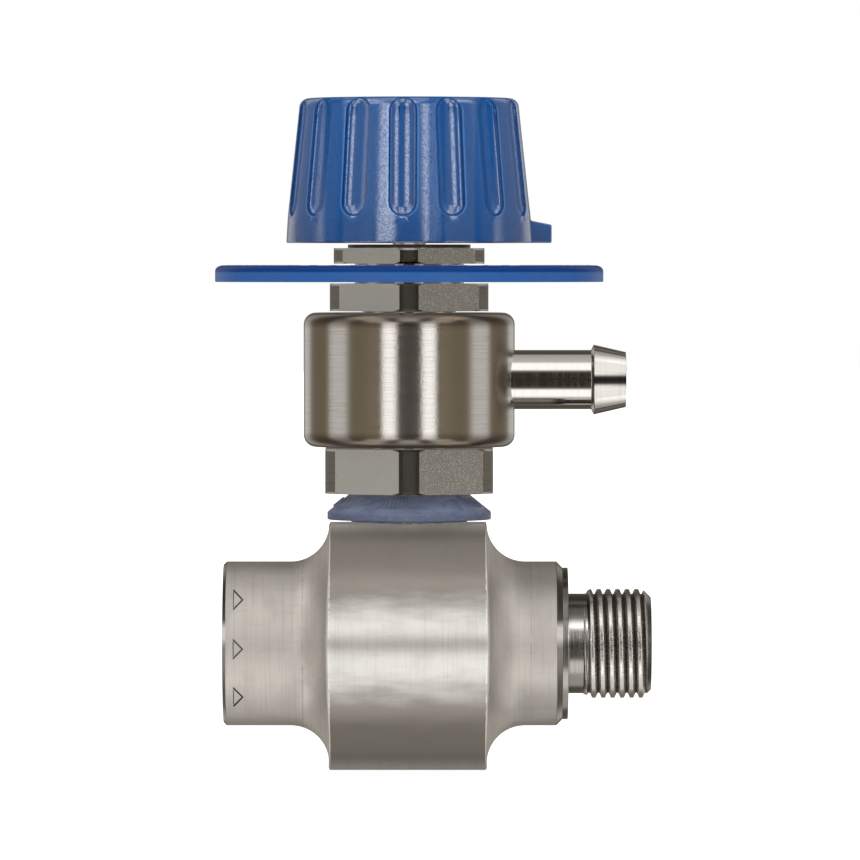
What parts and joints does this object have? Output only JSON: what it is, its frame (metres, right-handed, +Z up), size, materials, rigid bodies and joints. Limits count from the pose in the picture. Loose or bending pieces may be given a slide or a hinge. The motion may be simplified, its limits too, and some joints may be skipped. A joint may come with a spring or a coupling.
{
  "type": "venturi injector",
  "caption": "Stainless venturi injector with a male and a female pipe end, a swivelling hose tail, and a metering valve with a fluted knob over a dial.",
  "frame": {"origin": "on the flat underside of the body block, directly below the valve's axis", "axes": "+X along the flow from the inlet to the outlet, +Z up along the valve's axis, -Y towards the side that the picture shows"},
  "size_m": [0.0838, 0.0746, 0.1291],
  "materials": {
    "turned_stainless": "satin turned stainless steel",
    "blasted_stainless": "bead-blasted stainless steel",
    "polished_stainless": "bright turned stainless steel",
    "spring_steel": "bright stainless steel",
    "brass": "bright brass",
    "blue_plastic": "semi-gloss moulded blue",
    "blue_elastomer": "matte slate blue",
    "black_rubber": "matte black"
  },
  "bodies": {
    "body": {"injector_body": "turned_stainless", "jet_nozzle": "polished_stainless", "nozzle_oring": "black_rubber", "diffuser_tube": "polished_stainless", "diffuser_oring": "black_rubber", "profile_seal": "blue_elastomer", "hollow_screw": "blasted_stainless", "check_spring": "spring_steel", "spring_retainer": "polished_stainless", "swivel_oring_lower": "black_rubber", "swivel_oring_upper": "black_rubber", "valve_bonnet": "blasted_stainless", "scale_dial": "blue_plastic", "dial_nut": "blasted_stainless"},
    "hose_swivel": {"banjo_ring": "turned_stainless", "hose_barb": "polished_stainless"},
    "spindle_carrier": {"spindle_oring": "black_rubber"},
    "knob": {"control_knob": "blue_plastic", "knob_bush": "brass", "knob_washer": "spring_steel", "knob_screw": "spring_steel", "knob_cap": "blue_plastic", "metering_spindle": "polished_stainless"},
    "check_valve": {"check_ball": "polished_stainless"}
  },
  "joints": [
    {"name": "hose_swivel_turn", "type": "hinge", "parent": "body", "child": "hose_swivel", "pos_m": [0, 0, 0.075], "axis": [0, 0, 1], "continuous": true},
    {"name": "spindle_lift", "type": "slide", "parent": "body", "child": "spindle_carrier", "axis": [0, 0, 1], "range_m": [0, 0.0014]},
    {"name": "knob_turn", "type": "hinge", "parent": "spindle_carrier", "child": "knob", "pos_m": [0, 0, 0.1013], "axis": [0, 0, 1], "range_deg": [0, 330]},
    {"name": "check_ball_slide", "type": "slide", "parent": "body", "child": "check_valve", "axis": [0, 0, -1], "range_m": [0, 0.0015], "stiffness_N_per_m": 100, "springref_m": -0.001, "deforming": ["check_spring"]}
  ],
  "couplings": [
    {"joint": "spindle_lift", "follows": "knob_turn", "m_per_rad": 0.00023873}
  ]
}
